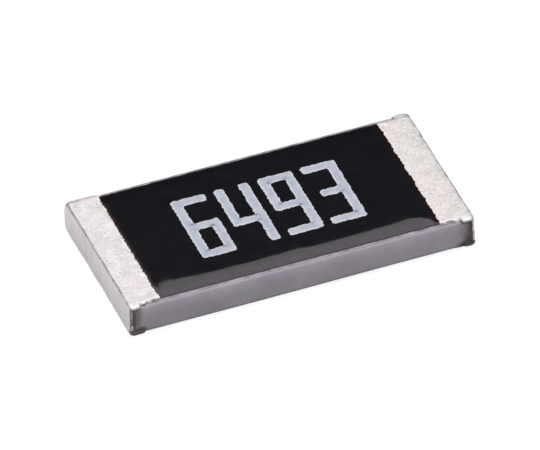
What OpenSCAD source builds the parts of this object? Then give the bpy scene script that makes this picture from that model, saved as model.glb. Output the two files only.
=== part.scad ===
// Thick-film chip resistor, 2512 size. An alumina plate carries printed silver electrodes,
// a laser-trimmed resistor film, a glass coat and a crowned black overcoat. Each end is
// wrapped by a thin end electrode, a nickel barrier and a tin plating, one shell in the next.
// The origin is at the middle of the underside of the terminals, +X runs along the length.

/* [Chip] */
// Overall length, over the tin of both ends
chip_l = 6.35; // [5.8:0.05:7]
// Overall width, over the tin that wraps onto the long sides
chip_w = 3.1; // [2.8:0.05:3.5]
// Overall height, from the underside of the terminals to the crown of the overcoat
chip_h = 0.65; // [0.5:0.01:0.9]

/* [Substrate] */
// Width of the scribed bevel on the plate's edges, seen from above
bevel_run = 0.03; // [0.02:0.005:0.05]
// Height of the same bevel, seen from the side
bevel_drop = 0.05; // [0.03:0.005:0.08]
// Radius of the plate's four upright corners
corner_r = 0.08; // [0.04:0.01:0.12]

/* [Silver electrodes] */
// Thickness of the printed silver on the top face
top_silver_t = 0.012; // [0.008:0.001:0.016]
// Thickness of the printed silver on the underside
bottom_silver_t = 0.01; // [0.006:0.001:0.014]
// Bare rim of the plate's flat face beside the silver
silver_margin = 0.08; // [0.05:0.005:0.1]
// Length of top silver that runs on below the overcoat
silver_lap = 0.3; // [0.26:0.01:0.4]
// Radius of the silver's inner corners
silver_corner_r = 0.06; // [0.03:0.01:0.12]

/* [Resistor film] */
// Thickness of the resistor film
film_t = 0.012; // [0.008:0.001:0.016]
// Length by which the film lies on the silver at each end
film_overlap = 0.15; // [0.1:0.01:0.18]
// Distance from the overcoat's long edge to the film's long edge
film_inset = 0.28; // [0.2:0.01:0.34]
// Slope length where the film climbs onto the silver
film_step = 0.03; // [0.02:0.005:0.05]
// Width of the laser trim cut
trim_w = 0.05; // [0.03:0.005:0.08]
// Depth of the trim cut into the film, from its front long edge
trim_depth = 1.1; // [0.6:0.05:1.6]
// Length of the trim cut's leg along the film
trim_leg = 0.7; // [0.3:0.05:1.2]
// Distance from the middle of the chip to the start of the trim cut
trim_x = 0.9; // [0.4:0.05:1.4]

/* [Glass coat] */
// Thickness of the glass coat over the film
glass_t = 0.008; // [0.006:0.001:0.012]
// Distance by which the glass reaches past the film on all sides
glass_margin = 0.05; // [0.03:0.005:0.07]

/* [Overcoat] */
// Cover of the overcoat above the glass coat, at its crown
overcoat_cover = 0.013; // [0.012:0.001:0.02]
// Bare rim of the plate's flat face beside the overcoat
overcoat_margin = 0.03; // [0.024:0.002:0.032]
// Height of the overcoat's long edges above the silver
long_edge_cover = 0.006; // [0.004:0.001:0.01]
// Height of the overcoat's end edges above the silver
end_edge_cover = 0.014; // [0.01:0.001:0.018]
// Width of the roll-off along each long edge
long_roll_w = 0.36; // [0.24:0.02:0.44]
// Width of the roll-off along each end edge
end_roll_w = 0.1; // [0.06:0.01:0.12]

/* [Terminals] */
// Length of the left terminal on the top face
top_terminal_left = 0.57; // [0.4:0.01:0.8]
// Length of the right terminal on the top face
top_terminal_right = 0.62; // [0.4:0.01:0.8]
// Length of both terminals on the underside
bottom_terminal = 0.5; // [0.36:0.02:0.7]
// Thickness of the end electrode
end_electrode_t = 0.004; // [0.002:0.001:0.008]
// Thickness of the nickel barrier
nickel_t = 0.006; // [0.004:0.001:0.01]
// Thickness of the tin plating
tin_t = 0.01; // [0.007:0.001:0.014]
// Reach of the end electrode round the upright corners, along the long sides
side_wrap = 0.01; // [0.005:0.005:0.06]
// Reach of the end electrode along the long sides' top and bottom edges
edge_wrap = 0.11; // [0.08:0.01:0.2]
// Height of the same wraps on the long sides, from the plate's top or bottom face
edge_drop = 0.02; // [0.01:0.005:0.05]
// Radius of the tin's top and bottom edges
tin_edge_r = 0.045; // [0.03:0.005:0.05]

/* [Hidden] */

// Overrun of cuts and of the prisms that are intersected
over = 0.2;
// Straight pieces in a quarter round and in a roll-off
arc_steps = 6;
roll_steps = 10;

// The shells grow outwards from the plate and its silver
end_grow = end_electrode_t;
nickel_grow = end_grow + nickel_t;
tin_grow = nickel_grow + tin_t;

// Undersides and tops of the shells, which grow on the silver of both faces
function shell_z0(grow) = plate_z0 - bottom_silver_t - grow;
function shell_z1(grow) = plate_z1 + top_silver_t + grow;

// The plate, below the stack of layers that the overcoat covers
plate_l = chip_l - 2 * tin_grow;
plate_w = chip_w - 2 * tin_grow;
plate_z0 = bottom_silver_t + tin_grow;
plate_z1 = chip_h - overcoat_cover - glass_t - film_t - top_silver_t;
flat_l = plate_l - 2 * bevel_run;
flat_w = plate_w - 2 * bevel_run;

// Plan of what is printed on it
silver_w = flat_w - 2 * silver_margin;
overcoat_w = flat_w - 2 * overcoat_margin;
film_w = overcoat_w - 2 * film_inset;
glass_w = film_w + 2 * glass_margin;

// Distances from the middle, on the side that is given as -1 for left and 1 for right
function top_terminal(side) = side < 0 ? top_terminal_left : top_terminal_right;
function overcoat_end(side) = chip_l / 2 - top_terminal(side);
function silver_end(side) = overcoat_end(side) - silver_lap;
function film_end(side) = silver_end(side) + film_overlap;
function glass_end(side) = film_end(side) + glass_margin;

// Rectangle from -half to half and from low to high, with its corners cut off
function bevelled(half, low, high, run, drop) =
    [[half, low + drop], [half, high - drop], [half - run, high], [run - half, high],
     [-half, high - drop], [-half, low + drop], [run - half, low], [half - run, low]];

// The same rectangle with round corners, as four quarter circles
function rounded(half, low, high, r) =
    [for (corner = [[1, 1, 0], [-1, 1, 90], [-1, -1, 180], [1, -1, 270]])
        for (i = [0 : arc_steps])
            let (angle = corner[2] + 90 * i / arc_steps)
                [corner[0] * (half - r) + r * cos(angle),
                 (corner[1] > 0 ? high - r : low + r) + r * sin(angle)]];

// Drop of a circle that is level at zero and has fallen by depth at width
function arc_drop(x, width, depth) =
    let (r = (width * width + depth * depth) / (2 * depth)) r - sqrt(r * r - x * x);

// Half of a crowned top: from its level middle down the roll-off to its edge
function roll_off(side, reach, width, top, edge) =
    [for (i = [0 : roll_steps])
        let (x = width * i / roll_steps)
            [side * (reach - width + x), top - arc_drop(x, width, top - edge)]];

function reversed(list) = [for (i = [len(list) - 1 : -1 : 0]) list[i]];

// Rectangle from one corner to the opposite one
function block(a, b) = [a, [b[0], a[1]], b, [a[0], b[1]]];

// Half of the outline in X and Z of a layer whose top climbs by the silver's thickness
function climbing_half(side, reach, thickness, floor_z) =
    [[side * (silver_end(side) - film_step), plate_z1 + thickness],
     [side * silver_end(side), plate_z1 + top_silver_t + thickness],
     [side * reach, plate_z1 + top_silver_t + thickness],
     [side * reach, floor_z]];

// An outline in Y and Z, drawn out along X
module prism_x(points, length)
    rotate([90, 0, 90]) linear_extrude(length, center = true) polygon(points);

// An outline in X and Z, drawn out along Y
module prism_y(points, width)
    rotate([90, 0, 0]) linear_extrude(width, center = true) polygon(points);

// An outline in X and Y, drawn out from z0 to z1
module prism_z(points, z0, z1)
    translate([0, 0, z0]) linear_extrude(z1 - z0) polygon(points);

// Builds for the right end what is given for it, and mirrors it for the left end
module at_end(side) mirror([side < 0 ? 1 : 0, 0, 0]) children();

// Outline in X and Y of the plate, or of a shell that has grown on it, with round corners
function grown_plan(grow) =
    rounded(plate_l / 2 + grow, -plate_w / 2 - grow, plate_w / 2 + grow, corner_r + grow);

// The plate grown on all sides, with bevels along its top and bottom edges
module bevelled_plate(grow, z0, z1) {
    intersection() {
        prism_x(bevelled(plate_w / 2 + grow, z0, z1, bevel_run, bevel_drop), chip_l + over);
        prism_y(bevelled(plate_l / 2 + grow, z0, z1, bevel_run, bevel_drop), chip_w + over);
        prism_z(grown_plan(grow), z0 - over, z1 + over);
    }
}

// The plate grown on all sides, with its top and bottom edges rounded
module rounded_plate(grow, z0, z1, r) {
    intersection() {
        prism_x(rounded(plate_w / 2 + grow, z0, z1, r), chip_l + over);
        prism_y(rounded(plate_l / 2 + grow, z0, z1, r), chip_w + over);
        prism_z(grown_plan(grow), z0 - over, z1 + over);
    }
}

module plate() bevelled_plate(0, plate_z0, plate_z1);

// Printed pad on the right end, from the plate's flat edge to round inner corners
module silver_pad(inner, z0, z1) {
    r = silver_corner_r;
    half = silver_w / 2;
    arc_from_back = [for (i = [0 : arc_steps]) let (a = 90 + 90 * i / arc_steps)
                         [inner + r + r * cos(a), half - r + r * sin(a)]];
    arc_to_front = [for (i = [0 : arc_steps]) let (a = 180 + 90 * i / arc_steps)
                        [inner + r + r * cos(a), r - half + r * sin(a)]];
    intersection() {
        prism_y(block([inner - over, z0], [flat_l / 2, z1]), silver_w + over);
        prism_z(concat([[flat_l, half]], arc_from_back, arc_to_front, [[flat_l, -half]]),
                z0 - over, z1 + over);
    }
}

// Top pad; as a cutter it starts lower, inside the plate
module top_silver(side, sink = 0)
    at_end(side) silver_pad(silver_end(side), plate_z1 - sink, plate_z1 + top_silver_t);

// Bottom pad, set back by the plating that covers its inner edge; as a cutter it ends
// higher, inside the plate
module bottom_silver(side, sink = 0)
    at_end(side) silver_pad(chip_l / 2 - bottom_terminal + nickel_t + tin_t,
                            plate_z0 - bottom_silver_t, plate_z0 + sink);

// Plate and silver together, as the inside of every shell
module cut_out_inside(side) {
    plate();
    top_silver(side, over);
    bottom_silver(side, over);
}

// Space at the right end that a wrapped shell fills: the end with the upright corners,
// and further in along the top and bottom edges of the long sides
module wrap_space(grow) {
    side_x = plate_l / 2 - side_wrap - grow;
    edge_x = plate_l / 2 - edge_wrap - grow;
    low_z = plate_z0 + edge_drop + grow;
    high_z = plate_z1 - edge_drop - grow;
    prism_y([[chip_l, -over], [edge_x, -over], [edge_x, low_z], [side_x, low_z],
             [side_x, high_z], [edge_x, high_z], [edge_x, chip_h + over],
             [chip_l, chip_h + over]], 2 * chip_w);
}

// Bars that a plating adds on the pads of the right end, from the pads' inner ends to
// inside the wrapped shell
module plated_pads(side, grow, plated) {
    outer = plate_l / 2 - edge_wrap / 2;
    bottom_x = chip_l / 2 - bottom_terminal + nickel_t + tin_t - plated;
    width = silver_w + 2 * plated;
    prism_y(block([overcoat_end(side), plate_z1 - over], [outer, shell_z1(grow)]), width);
    prism_y(block([bottom_x, shell_z0(grow)], [outer, plate_z0 + over]), width);
}

// Everything inside the outer faces of the end electrode
module end_electrode_fill() {
    intersection() {
        bevelled_plate(end_grow, shell_z0(end_grow), shell_z1(end_grow));
        wrap_space(end_grow);
    }
}

// Everything inside the outer faces of the nickel
module nickel_fill(side) {
    intersection() {
        bevelled_plate(nickel_grow, shell_z0(nickel_grow), shell_z1(nickel_grow));
        wrap_space(nickel_grow);
    }
    plated_pads(side, nickel_grow, nickel_t);
}

// Everything inside the outer faces of the tin
module tin_fill(side) {
    intersection() {
        rounded_plate(tin_grow, shell_z0(tin_grow), shell_z1(tin_grow), tin_edge_r);
        wrap_space(tin_grow);
    }
    plated_pads(side, tin_grow, nickel_t + tin_t);
}

module end_electrode(side) {
    difference() {
        at_end(side) end_electrode_fill();
        cut_out_inside(side);
    }
}

module nickel_barrier(side) {
    difference() {
        at_end(side) nickel_fill(side);
        at_end(side) end_electrode_fill();
        cut_out_inside(side);
    }
}

module tin_plating(side) {
    difference() {
        at_end(side) tin_fill(side);
        at_end(side) nickel_fill(side);
        plate();
    }
}

// L-shaped cut that the laser makes through the glass and the film, from the front edge
module trim_cut() {
    front = -film_w / 2;
    back = front + trim_depth;
    prism_z([[trim_x, front - glass_margin - over], [trim_x, back], [trim_x - trim_leg, back],
             [trim_x - trim_leg, back - trim_w], [trim_x - trim_w, back - trim_w],
             [trim_x - trim_w, front - glass_margin - over]], plate_z1 - over, chip_h + over);
}

// Space of the film down to floor_z, and of the glass with the film below it
module film_space(floor_z)
    prism_y(concat(climbing_half(1, film_end(1), film_t, floor_z),
                   reversed(climbing_half(-1, film_end(-1), film_t, floor_z))), film_w);

module glass_space(floor_z)
    prism_y(concat(climbing_half(1, glass_end(1), film_t + glass_t, floor_z),
                   reversed(climbing_half(-1, glass_end(-1), film_t + glass_t, floor_z))),
            glass_w);

// The overcoat's outer form, level in the middle and rolled off towards its four edges
module crown() {
    long_edge = plate_z1 + top_silver_t + long_edge_cover;
    end_edge = plate_z1 + top_silver_t + end_edge_cover;
    half = overcoat_w / 2;
    across = concat([[half, plate_z1], [-half, plate_z1]],
                    reversed(roll_off(-1, half, long_roll_w, chip_h, long_edge)),
                    roll_off(1, half, long_roll_w, chip_h, long_edge));
    along = concat([[overcoat_end(1), plate_z1], [-overcoat_end(-1), plate_z1]],
                   reversed(roll_off(-1, overcoat_end(-1), end_roll_w, chip_h, end_edge)),
                   roll_off(1, overcoat_end(1), end_roll_w, chip_h, end_edge));
    intersection() {
        prism_x(across, chip_l);
        prism_y(along, chip_w);
    }
}

module ceramic_substrate() color([0.9, 0.89, 0.87]) plate();

module top_electrode_left() color([0.78, 0.77, 0.75]) top_silver(-1);

module top_electrode_right() color([0.78, 0.77, 0.75]) top_silver(1);

module bottom_electrode_left() color([0.78, 0.77, 0.75]) bottom_silver(-1);

module bottom_electrode_right() color([0.78, 0.77, 0.75]) bottom_silver(1);

module resistor_film() {
    color([0.16, 0.15, 0.16]) difference() {
        film_space(plate_z1);
        top_silver(-1, over);
        top_silver(1, over);
        trim_cut();
    }
}

module glass_coat() {
    color([0.35, 0.42, 0.4]) difference() {
        glass_space(plate_z1);
        film_space(plate_z1 - over);
        top_silver(-1, over);
        top_silver(1, over);
        trim_cut();
    }
}

module overcoat() {
    color([0.07, 0.07, 0.08]) difference() {
        crown();
        top_silver(-1, over);
        top_silver(1, over);
        difference() {
            glass_space(plate_z1 - over);
            trim_cut();
        }
    }
}

module end_electrode_left() color([0.5, 0.5, 0.52]) end_electrode(-1);

module end_electrode_right() color([0.5, 0.5, 0.52]) end_electrode(1);

module nickel_barrier_left() color([0.66, 0.64, 0.58]) nickel_barrier(-1);

module nickel_barrier_right() color([0.66, 0.64, 0.58]) nickel_barrier(1);

module tin_plating_left() color([0.92, 0.91, 0.91]) tin_plating(-1);

module tin_plating_right() color([0.92, 0.91, 0.91]) tin_plating(1);

ceramic_substrate();
top_electrode_left();
top_electrode_right();
bottom_electrode_left();
bottom_electrode_right();
resistor_film();
glass_coat();
overcoat();
end_electrode_left();
end_electrode_right();
nickel_barrier_left();
nickel_barrier_right();
tin_plating_left();
tin_plating_right();
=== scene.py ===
import math

import bpy
import numpy as np
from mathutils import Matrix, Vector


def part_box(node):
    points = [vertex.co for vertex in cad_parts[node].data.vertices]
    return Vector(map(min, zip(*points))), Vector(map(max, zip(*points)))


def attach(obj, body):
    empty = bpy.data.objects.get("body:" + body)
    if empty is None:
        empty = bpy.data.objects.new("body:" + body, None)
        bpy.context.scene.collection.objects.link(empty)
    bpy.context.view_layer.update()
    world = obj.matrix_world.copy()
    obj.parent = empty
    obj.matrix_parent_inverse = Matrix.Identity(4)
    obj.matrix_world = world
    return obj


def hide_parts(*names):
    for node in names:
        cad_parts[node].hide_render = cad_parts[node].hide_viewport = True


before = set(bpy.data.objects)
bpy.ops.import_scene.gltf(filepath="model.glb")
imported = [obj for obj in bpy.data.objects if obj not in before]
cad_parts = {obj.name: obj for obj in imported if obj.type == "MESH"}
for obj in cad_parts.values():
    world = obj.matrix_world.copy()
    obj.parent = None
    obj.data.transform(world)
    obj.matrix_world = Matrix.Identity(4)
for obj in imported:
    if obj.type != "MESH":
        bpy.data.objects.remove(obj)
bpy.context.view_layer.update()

# Units: every length below is in millimetres, and pieces go to Blender in metres
MM = 0.001

# Frame of the photograph, and the camera that was fitted to it
PHOTO_WIDTH = 540
PHOTO_HEIGHT = 450
PIXELS_PER_MM = 58.151
ORIGIN_PIXEL = (270.36, 237.97)
CAMERA_AZIMUTH = math.radians(-21.077)
CAMERA_ELEVATION = math.radians(40.177)
CAMERA_ROLL = math.radians(0.871)
CAMERA_DISTANCE = 285.7
SENSOR_WIDTH = 36.0
CLIP_NEAR = 1.0
CLIP_FAR = 2000.0

# Studio
FLOOR_RADIUS = 600.0
FLOOR_POINTS = 96
FLOOR_DROP = 0.003
FLOOR_GLOW = 0.85
FLOOR_LIT = 0.22
FLOOR_BOUNCE = 0.12
MIRRORED_GLOW = 0.25
MIRRORED_LIT = 0.75
SOFTBOX_RADIUS = 158.0
SOFTBOX_HEIGHT = 150.0
SOFTBOX_POWER = 0.485
ROOM_LIGHT = 0.05

# Lattice of the built surfaces, the table of random numbers, and the heights above which
# a point belongs to the chip's upper half and to its top
EDGE_STEPS = 4
NOISE_TABLE = 32
TINY = 1e-9
MIDDLE_HEIGHT = 0.3
TOP_HEIGHT = 0.55

# Two kinds of values recur below. A value that grows, such as a stain or a bulge, names
# the place where it starts, the run over which it grows (negative where it grows towards
# lower places) and, if that isn't one, its strength. A noise names a strength and a cell
# size for each of its layers, and a seed for its random draws.

# Ceramic plate: its edges, the waves of its sides, how its front side leans back and how
# its lower front edge rises to the right
PLATE_PITCH = (0.032, 0.032, 0.014)
PLATE_BEVEL = np.array([0.030, 0.016, 0.050])
PLATE_WEAR = 1.4
PLATE_CORNER = 0.08
PLATE_LIFT = 0.006
PLATE_WAVE = 0.0035
PLATE_WAVES = ((PLATE_WAVE, 0.35), (0.0012, 0.06))
PLATE_SEED = 1
LEAN = 0.016
LEAN_START = 0.10
LEAN_RUN = 0.50
LEAN_POWER = 5
FRONT_RISE = 0.016
FRONT_RISE_SIDE = (-1.35, -0.15)
FRONT_RISE_HEIGHT = (0.45, -0.40)
FRONT_RISE_START = (-1.0, 3.0)
FRONT_RISE_END = (2.7, 0.25, 0.8)

# Grey darkening of the plate's long sides, painted shade with some stain near the ends, and how far its
# borders are blurred
SIDE_BLUR = ((0.05, 0.12), (0.03, 0.05))
SIDE_BLUR_SEED = 11
FAINT_SHADE = 0.17
FAINT_LOSS = (1.0, 1.0, 0.05)
FAINT_HEIGHT = (0.25, 0.33)
FAINT_BLUR = 0.4
RIGHT_DARKENING = (2.80, 0.32, 0.97)
RIGHT_DARKENING_LEAN = 0.15
LEFT_DARKENING = (-2.90, -0.20, 0.72)
TIN_LINE = (3.055, 0.04, 0.95)
TIN_LINE_BLUR = 0.3
LOW_LEFT_DARKENING = (-2.80, -0.18, 0.90)
LOW_LEFT_HEIGHT = (0.24, -0.15)
LOW_RIGHT_DARKENING = (2.80, 0.18, 0.98)
LOW_RIGHT_HEIGHT = (0.25, -0.16)
LOW_BLUR = 0.5

# Darkening of the plate's scribed top edge, painted shade with some soot: on the bevel, on
# the rim of the top face, and the change of the latter beside the pads in front and behind
EDGE_DARK_HEIGHT = (0.572, 0.02)
EDGE_DARK_LEVEL = (0.45, 0.4)
EDGE_DARK_ON_BEVEL = 0.20
EDGE_DARK_ON_RIM = 0.60
EDGE_DARK_BESIDE_PADS = (0.12, -0.30)
EDGE_DARK_PAD_PLACE = (2.50, 0.08)
EDGE_DARK_MEAN = 0.85
EDGE_DARK_SPECKLE = ((0.15, 0.10), (0.10, 0.04))
EDGE_DARK_SEED = 13
# Least share of the front side's painted violet tint of shade, which grows to one where the side faces
# squarely front
FRONT_SHADE_TINT = 0.8

# Overcoat
COAT_PITCH = (0.032, 0.015)
COAT_LEVELS = 3
COAT_BACK_START = 1.30
COAT_START_WAVE = ((0.006, 0.11),)
COAT_START_SEED = 25
COAT_BLEND = 0.034
COAT_LEFT_BLEND = (-1.7, -0.6, 0.038)
COAT_SLOPE = 0.050
COAT_LEFT_EASE = (-1.9, -0.4, 0.012)
COAT_CURVE = 0.100
COAT_END_ROLL = 0.06
COAT_END_CURVE = 0.60
COAT_EDGE_WAVE = ((0.007, 0.22), (0.0035, 0.07))
COAT_EDGE_SEED = 21
COAT_EDGE_BORDER = 0.12
COAT_EDGE_INSET = 0.025
COAT_EDGE_ROUND = 0.015
COAT_END_ZONE = 0.15
COAT_END_SHIFT = (0.006, 0.016)
COAT_END_RAGGED = ((0.009, 0.10), (0.016, 0.030))
COAT_END_SEED = 23
# Where the front and rear roll-offs take their painted sheen, standing in for reflected light
COAT_FRONT_SHEEN = (1.20, 0.15)
COAT_REAR_SHEEN = (1.36, 0.07, 0.5)

# Distance from the middle line at which the coat's front starts to roll off, at places
# along the chip: the level part is narrower at the left end, bulges back a little before
# the right end and runs out into the right corner
ROLL_PLACES = (-2.60, -2.46, -2.34, -2.18, -1.60, -0.80, 0.00, 0.40, 1.20, 1.75, 2.10, 2.26, 2.38, 2.50)
ROLL_STARTS = (1.20, 1.095, 1.085, 1.125, 1.165, 1.178, 1.162, 1.198, 1.190, 1.168, 1.142, 1.180,
               1.26, 1.46)

# Tin terminals: the rounded end block, the plated area, its ragged border and its wall
TIN_PITCH = 0.0165
TIN_EDGE = 0.045
TIN_SHELL = 0.012
TIN_BORDER = 0.026
TIN_TOP_STEP = 0.032
TIN_SIDE_STEP = 0.020
TIN_FRONT_CORNER = 0.075
TIN_REAR_CORNER = (0.035, 0.12)
TIN_CORNER_POWER = 4
TIN_UNDER_COAT = 0.035
TIN_BLOCK_SPARE = 0.06
TIN_OPEN_SPARE = 1.0
TIN_BOTTOM_INNER = 2.675
TIN_PAD_HALF = 1.444
TIN_PAD_FLARE = (-0.15, 0.06, 0.040)
TIN_LIP_DEPTH = 0.068
TIN_RAGGED = ((0.020, 0.10), (0.012, 0.038))
TIN_DRIFT = ((0.014, 0.25),)
PAD_RAGGED = 0.8
LIP_RAGGED = 0.6
STRIP_RAGGED = 0.5
DIVE_LIMIT = 0.02

# Relief of the tin: coarse on the level pads, fine on the end faces and the lips
TIN_LEVEL = (0.6, 0.35)
TIN_BEAD = 0.004
TIN_BEAD_WIDTH = 0.012
TIN_GRAINS = ((0.0018, 0.045), (0.00108, 0.024))
TIN_END_GRAIN = 0.12
TIN_SWELL = ((0.002, 0.4),)

# How the end blocks are out of true
END_ZONE = (-0.07, 0.05)
END_WAVE = ((0.006, 0.16), (0.004, 0.05))
END_WAVE_SEED = 7
END_WAVE_SEED_STEP = 10
BULGE_POWER = 4
BULGE_ALONG = (0.5, 0.9, 0.017)
BULGE_ACROSS = (1.44, 0.08, 0.032)
REAR_TAPER = (1.50, 0.03, 0.014)
REAR_TAPER_RUN = (0.0, 0.13)
BOTTOM_TAPER = (1.44, 0.05, 0.018)
BOTTOM_TAPER_HEIGHT = (-0.9, -0.1)
BOTTOM_TAPER_RUN = (0.0, 0.10)
FLARE_HEIGHT = (0.75, -1.25)
END_RISE_SIDE = (-1.35, -0.15)
END_RISE_HEIGHT = (0.0, -1.0)

# Darkening of the tin, patchy by a shared noise: mostly painted shade on its bent edges, lips and end
# face, with some stains
PATCHY_MEAN = 0.6
PATCHES = ((0.4, 0.12), (0.3, 0.045))
FRINGE_PLACE = (3.06, 0.05)
CREASE_START = (0.0, 0.03)
CREASE_END = (0.035, 0.03, 0.80)
CREASE_SHADE = 0.25
CREASE_PATCHES = 0.30
CORNER_FLATNESS = 0.5
CORNER_DARKENING = (0.10, 0.25, 0.92)
CORNER_EVEN = 0.65
CORNER_BORDER = 0.015
CORNER_BORDER_HEIGHT = (0.24, -0.04)
DARK_RIM = 0.006
DARK_RIM_PATCHES = 0.004
DARK_RIM_EVEN = 0.85
LIP_TURNED = (0.75, 0.2, 0.92)
LIP_TOP = (0.612, -0.015)
LIP_BOTTOM = (0.46, 0.10)
BOTTOM_SIDE = (1.44, 0.06)
BOTTOM_TOP = 0.13
BOTTOM_FADE = (-0.02, -0.10)
BOTTOM_SHADE = (0.90, 0.55)
SMUDGE_PLACE = -0.01
SMUDGE_REACH = 0.06
SMUDGE_SIDE = (1.43, 0.03)
SMUDGE_EVEN = 0.5
GAP_RIM = 0.018
GAP_SIDE = 1.35
GAP_NOISE = ((1.0, 0.07),)
GAP_GROWTH = (-0.55, 0.3, 0.92)
FACE_TURNED = (0.7, 0.2)
FACE_TOP = 0.55
FACE_SHADE = (0.06, 0.12)

# Pink and green casts, upright streaks and the painted highlight of the tin's front rim
CLOUDS = ((0.8, 0.28), (0.5, 0.11))
CAST_OFF_END = (2.75, 0.2)
CAST_OFF_REAR = (0.9, 0.3, 0.5)
CAST_INWARD = (2.55, 0.14)
CAST_BESIDE = 0.35
STREAKS = ((1.0, 0.10), (0.6, 0.04))
STREAK_SQUASH = 0.15
STREAK_STRENGTH = 0.30
# Painted highlight of the front rim: where it grows, how level the rim must be, and its patches
RIM_HIGHLIGHT_EDGE = (-1.385, -0.05)
RIM_HIGHLIGHT_LEVEL = (0.2, 0.3)
RIM_HIGHLIGHT_MEAN = 0.75
RIM_HIGHLIGHT_PATCHES = ((0.6, 0.09),)

# What each noise of a terminal adds to the terminal's seed
TIN_DRAWS = {"border": 0, "drift": 2, "grain": 3, "swell": 5, "patches": 6, "gaps": 8,
             "streaks": 9, "clouds": 11, "highlighted_rim": 13}

# What differs between the two terminals: how far the lips and the upright strips reach in
# from the end, how far the end flares and rises, the painted shade and stains of the edges,
# corners and lips, how pebbly the pad is, and how pink it is everywhere, off the end and inward
LEFT_TERMINAL = {
    "piece": "tin_terminal_left", "side": -1, "seed": 60,
    "front_lip": 0.205, "rear_lip": 0.56, "bottom_lips": 0.27, "strips": 0.028,
    "flare": 0.0, "rise": 0.0,
    "edge_stain": (0.25, 0.2, 0.50), "fringe": 0.0, "crease": 1.445,
    "corner_light": 0.0, "corner_border": 1.0, "dark_rim": 0.0,
    "front_smudge": 0.65, "rear_smudge": 0.30,
    "pebbly": 0.25, "pink": (-0.12, 0.0, 0.0), "green": -0.05,
}
RIGHT_TERMINAL = {
    "piece": "tin_terminal_right", "side": 1, "seed": 80,
    "front_lip": 0.245, "rear_lip": 0.31, "bottom_lips": 0.20, "strips": 0.042,
    "flare": 0.020, "rise": 0.020,
    "edge_stain": (0.02, 0.2, 0.70), "fringe": 0.20, "crease": 1.40,
    "corner_light": 0.80, "corner_border": 0.0, "dark_rim": 1.0,
    "front_smudge": 0.65, "rear_smudge": 0.95,
    "pebbly": 0.60, "pink": (0.0, 0.66, 0.38), "green": 0.73,
}

# Printed marking: plain digits in a squarish stroke letter
MARKING = "6493"
DIGIT_CENTRES = (-1.22, -0.42, 0.39, 1.18)
DIGIT_MIDDLE = 0.015
STROKE_BOX = (0.455, 1.425)
STROKE_HALF = 0.091
STROKE_CORNER = 0.055
CORNER_PROBE = 0.03
INK_PITCH = 0.0125
INK_MARGIN = 0.04
INK_HEIGHT = 0.007
INK_ROUND = 0.025
INK_ROUGH = ((0.011, 0.030), (0.0055, 0.07))
INK_SWELL = ((0.0006, 0.03),)
INK_RIM = 0.055
INNER_ROUND = 0.035
INK_SHELL = 0.006
INK_DIVE = 0.013
INK_SEED = 40
INK_SEED_STEP = 5
INK_DRAWS = {"rough": 0, "swell": 2, "patches": 3}

# Thin ink in the inner corners: its random strengths, and the bell of its spread
THIN_STRENGTHS = (0.15, 1.0)
THIN_DRAWS = 64
THIN_OFFSET = 0.015
THIN_SPREAD = (0.045, 0.030)
THIN_MEAN = 0.9
THIN_PATCHES = ((0.5, 0.03),)
THIN_MOST = 0.9

# Strokes of each digit, on a box from 0 to 1 both ways
STROKES = {
    "3": [[(0.0, 1.0), (1.0, 1.0), (1.0, 0.0), (0.0, 0.0)], [(0.22, 0.52), (1.0, 0.52)]],
    "4": [[(0.0, 1.0), (0.0, 0.40), (1.0, 0.40)], [(1.0, 1.0), (1.0, 0.0)]],
    "6": [[(1.0, 1.0), (0.0, 1.0), (0.0, 0.0), (1.0, 0.0), (1.0, 0.52), (0.0, 0.52)]],
    "9": [[(0.0, 0.0), (1.0, 0.0), (1.0, 1.0), (0.0, 1.0), (0.0, 0.48), (1.0, 0.48)]],
}

# Colours of the finishes, as linear red, green and blue
COLOURS = {
    # The violet and pink colours below are a painted tint of the shaded front side
    "violet_shade": (0.74, 0.68, 0.79), "violet_light": (0.89, 0.84, 0.94),
    "alumina_pink": (0.83, 0.75, 0.82),
    "alumina_shade": (0.72, 0.715, 0.70), "alumina_light": (0.83, 0.83, 0.815),
    # Painted shade, with some stain and soot, for the plate's sides and top edge
    "alumina_stain": (0.060, 0.045, 0.047),
    "resin_dark": (0.0046, 0.0042, 0.0066), "resin_light": (0.0060, 0.0056, 0.0086),
    # The slope colour is a painted sheen of the roll-offs
    "resin_sheen": (0.085, 0.038, 0.076), "resin_thin": (0.014, 0.006, 0.006),
    # Painted highlight of the overcoat's front wall
    "resin_wall_highlight": (0.13, 0.105, 0.12),
    "tin_light": (0.895, 0.85, 0.855), "tin_shade": (0.62, 0.58, 0.58),
    "tin_pink": (0.76, 0.645, 0.655), "tin_green": (0.63, 0.615, 0.595),
    "tin_pebble": (0.97, 0.93, 0.92), "tin_glint": (0.99, 0.99, 0.99),
    "tin_pit": (0.36, 0.33, 0.33), "tin_streak": (0.60, 0.58, 0.56),
    # The first of these is the front rim's painted highlight; the second darkens the tin, mostly
    # painted shade with some stains
    "tin_rim_highlight": (0.985, 0.97, 0.965), "tin_stain": (0.055, 0.044, 0.047),
    "ink_shade": (0.38, 0.40, 0.49), "ink_light": (0.50, 0.52, 0.60),
    "ink_rim": (0.61, 0.625, 0.665), "ink_dot": (0.22, 0.23, 0.30),
    "ink_thin": (0.10, 0.11, 0.17), "room": (1.0, 1.0, 1.0),
}

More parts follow.
